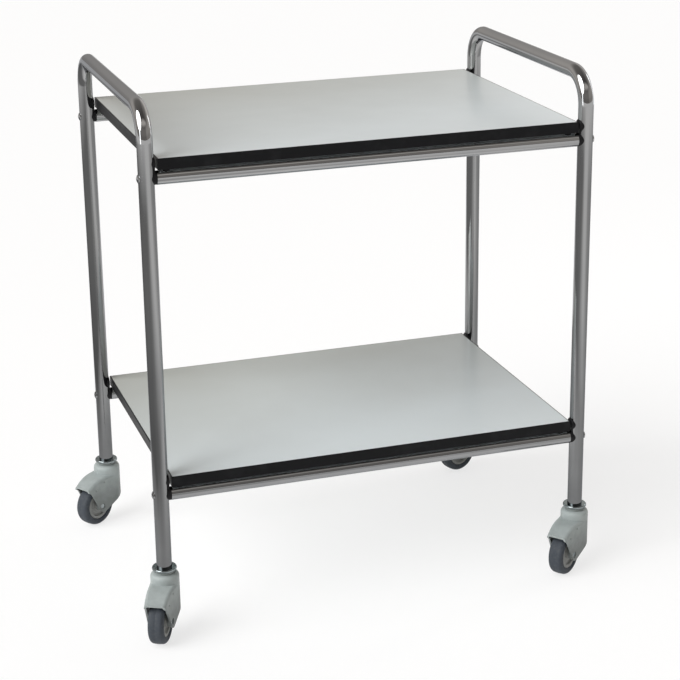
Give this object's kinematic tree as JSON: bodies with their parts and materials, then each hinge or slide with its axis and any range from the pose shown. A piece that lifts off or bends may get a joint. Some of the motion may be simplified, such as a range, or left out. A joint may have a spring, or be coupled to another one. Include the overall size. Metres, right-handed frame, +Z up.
{
  "type": "utility cart",
  "caption": "Two-tier service trolley with bent chromed tube end frames as push handles, white laminated shelves with black edges and swivel casters.",
  "frame": {"origin": "on the floor, midway between the four legs", "axes": "+Z up, +X to the right-hand end frame, -Y towards the long front side"},
  "size_m": [0.8132, 0.5668, 0.876],
  "materials": {
    "chrome_tube": "bright chrome plate",
    "chrome_fastener": "bright chrome plate",
    "zinc_steel": "zinc plated",
    "white_laminate": "semi-gloss white melamine on chipboard",
    "black_edging": "smooth black edge band",
    "black_plastic": "moulded, satin",
    "grey_housing": "moulded, satin grey",
    "grey_rim": "moulded, satin grey",
    "bush_plastic": "self-lubricating plastic",
    "rubber_tyre": "dark blue-grey rubber"
  },
  "bodies": {
    "frame": {"front_left_swivel_stem": "zinc_steel", "front_right_swivel_stem": "zinc_steel", "joint_nuts": "zinc_steel", "joint_screws": "chrome_fastener", "left_end_frame": "chrome_tube", "leg_plugs": "black_plastic", "lower_front_edge_strip": "black_edging", "lower_front_left_connector": "black_plastic", "lower_front_rail": "chrome_tube", "lower_front_right_connector": "black_plastic", "lower_left_edge_strip": "black_edging", "lower_rear_edge_strip": "black_edging", "lower_rear_left_connector": "black_plastic", "lower_rear_rail": "chrome_tube", "lower_rear_right_connector": "black_plastic", "lower_right_edge_strip": "black_edging", "lower_shelf_board": "white_laminate", "rear_left_swivel_stem": "zinc_steel", "rear_right_swivel_stem": "zinc_steel", "right_end_frame": "chrome_tube", "shelf_pads": "black_plastic", "shelf_screws": "zinc_steel", "swivel_clips": "zinc_steel", "upper_front_edge_strip": "black_edging", "upper_front_left_connector": "black_plastic", "upper_front_rail": "chrome_tube", "upper_front_right_connector": "black_plastic", "upper_left_edge_strip": "black_edging", "upper_rear_edge_strip": "black_edging", "upper_rear_left_connector": "black_plastic", "upper_rear_rail": "chrome_tube", "upper_rear_right_connector": "black_plastic", "upper_right_edge_strip": "black_edging", "upper_shelf_board": "white_laminate"},
    "front_left_fork": {"front_left_caster_housing": "grey_housing", "front_left_swivel_bush": "bush_plastic", "front_left_axle": "zinc_steel"},
    "front_left_wheel": {"front_left_wheel_rim": "grey_rim", "front_left_tyre": "rubber_tyre", "front_left_wheel_bushes": "bush_plastic"},
    "front_right_fork": {"front_right_caster_housing": "grey_housing", "front_right_swivel_bush": "bush_plastic", "front_right_axle": "zinc_steel"},
    "front_right_wheel": {"front_right_wheel_rim": "grey_rim", "front_right_tyre": "rubber_tyre", "front_right_wheel_bushes": "bush_plastic"},
    "rear_left_fork": {"rear_left_caster_housing": "grey_housing", "rear_left_swivel_bush": "bush_plastic", "rear_left_axle": "zinc_steel"},
    "rear_left_wheel": {"rear_left_wheel_rim": "grey_rim", "rear_left_tyre": "rubber_tyre", "rear_left_wheel_bushes": "bush_plastic"},
    "rear_right_fork": {"rear_right_caster_housing": "grey_housing", "rear_right_swivel_bush": "bush_plastic", "rear_right_axle": "zinc_steel"},
    "rear_right_wheel": {"rear_right_wheel_rim": "grey_rim", "rear_right_tyre": "rubber_tyre", "rear_right_wheel_bushes": "bush_plastic"}
  },
  "joints": [
    {"name": "front_left_swivel", "type": "hinge", "parent": "frame", "child": "front_left_fork", "pos_m": [-0.3625, -0.2375, 0.1], "axis": [0, 0, 1], "continuous": true},
    {"name": "front_left_roll", "type": "hinge", "parent": "front_left_fork", "child": "front_left_wheel", "pos_m": [-0.37917, -0.26884, 0.0375], "axis": [0.8829, -0.4695, 0], "continuous": true},
    {"name": "front_right_swivel", "type": "hinge", "parent": "frame", "child": "front_right_fork", "pos_m": [0.3625, -0.2375, 0.1], "axis": [0, 0, 1], "continuous": true},
    {"name": "front_right_roll", "type": "hinge", "parent": "front_right_fork", "child": "front_right_wheel", "pos_m": [0.33453, -0.25936, 0.0375], "axis": [0.6157, -0.788, 0], "continuous": true},
    {"name": "rear_left_swivel", "type": "hinge", "parent": "frame", "child": "rear_left_fork", "pos_m": [-0.3625, 0.2375, 0.1], "axis": [0, 0, 1], "continuous": true},
    {"name": "rear_left_roll", "type": "hinge", "parent": "rear_left_fork", "child": "rear_left_wheel", "pos_m": [-0.39158, 0.21714, 0.0375], "axis": [0.5736, -0.8192, 0], "continuous": true},
    {"name": "rear_right_swivel", "type": "hinge", "parent": "frame", "child": "rear_right_fork", "pos_m": [0.3625, 0.2375, 0.1], "axis": [0, 0, 1], "continuous": true},
    {"name": "rear_right_roll", "type": "hinge", "parent": "rear_right_fork", "child": "rear_right_wheel", "pos_m": [0.32914, 0.22536, 0.0375], "axis": [0.342, -0.9397, 0], "continuous": true}
  ]
}
